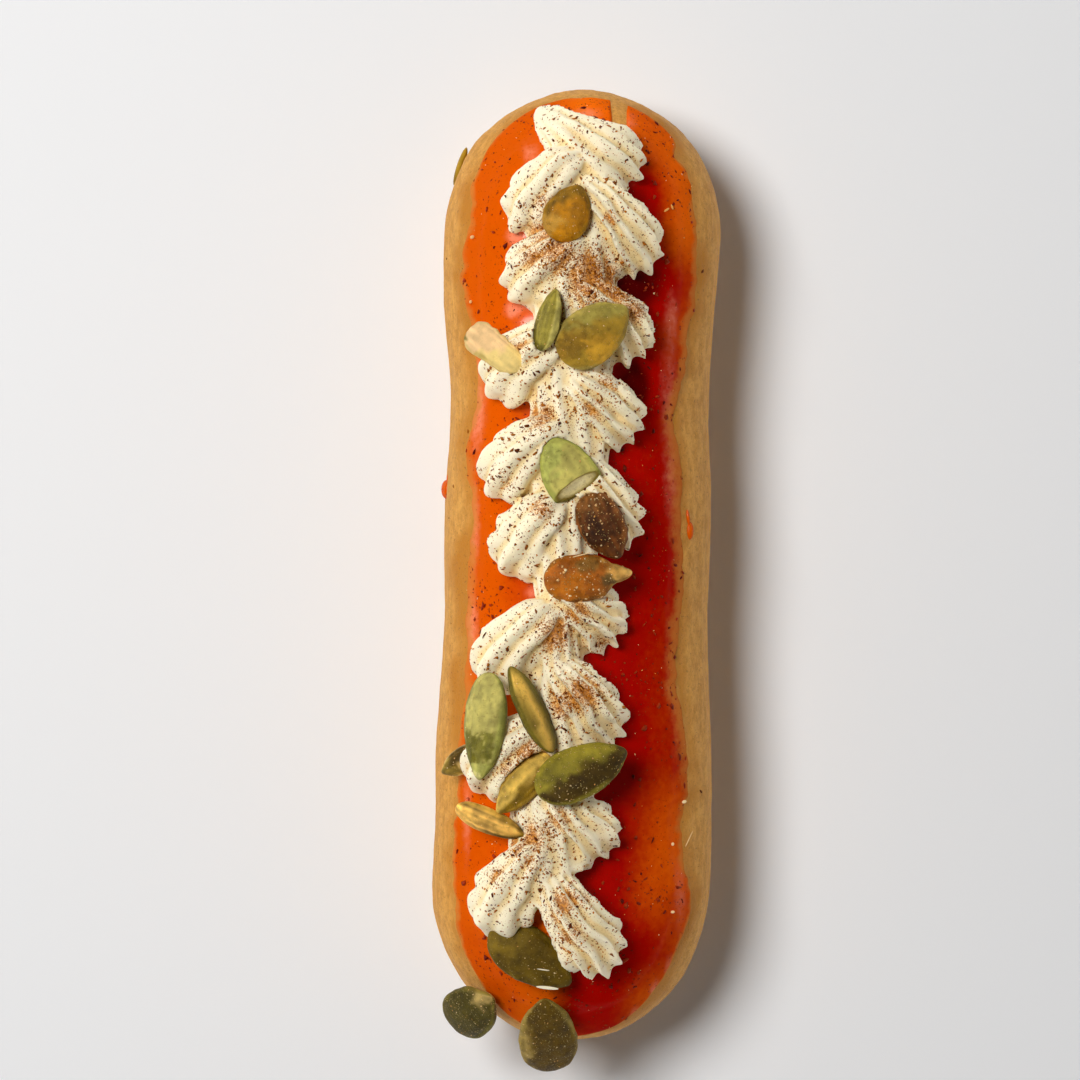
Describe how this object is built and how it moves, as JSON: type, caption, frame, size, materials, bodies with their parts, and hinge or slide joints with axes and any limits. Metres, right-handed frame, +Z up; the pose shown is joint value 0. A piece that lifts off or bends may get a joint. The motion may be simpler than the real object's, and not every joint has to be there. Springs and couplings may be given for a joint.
{
  "type": "eclair",
  "caption": "Glazed eclair: a long choux shell with an orange glaze on top, a zigzag rope of piped cream and scattered pumpkin seeds.",
  "frame": {"origin": "middle of the shell's flat underside", "axes": "+Y along the eclair, towards the end where the cream's last stroke tapers off; +Z up"},
  "size_m": [0.0369, 0.1245, 0.0373],
  "materials": {
    "choux": "matte baked choux crust, tan",
    "glaze": "glossy orange icing",
    "cream": "soft ivory whipped cream",
    "seed_green": "satin green seed skin",
    "seed_gold": "satin roasted gold seed skin",
    "seed_brown": "satin dark roasted seed skin",
    "seed_pale": "matte cut face of a seed"
  },
  "bodies": {
    "root": {"shell": "choux", "glaze": "glaze", "cream": "cream", "seed_01": "seed_gold", "seed_02": "seed_green", "seed_03": "seed_green", "seed_04": "seed_green", "seed_05": "seed_gold", "seed_06": "seed_gold", "seed_07": "seed_gold", "seed_08": "seed_green", "seed_09": "seed_green", "seed_10": "seed_pale", "seed_11": "seed_green", "seed_12": "seed_gold", "seed_13": "seed_gold", "seed_14": "seed_green", "seed_15": "seed_brown", "seed_16": "seed_brown"}
  },
  "joints": []
}
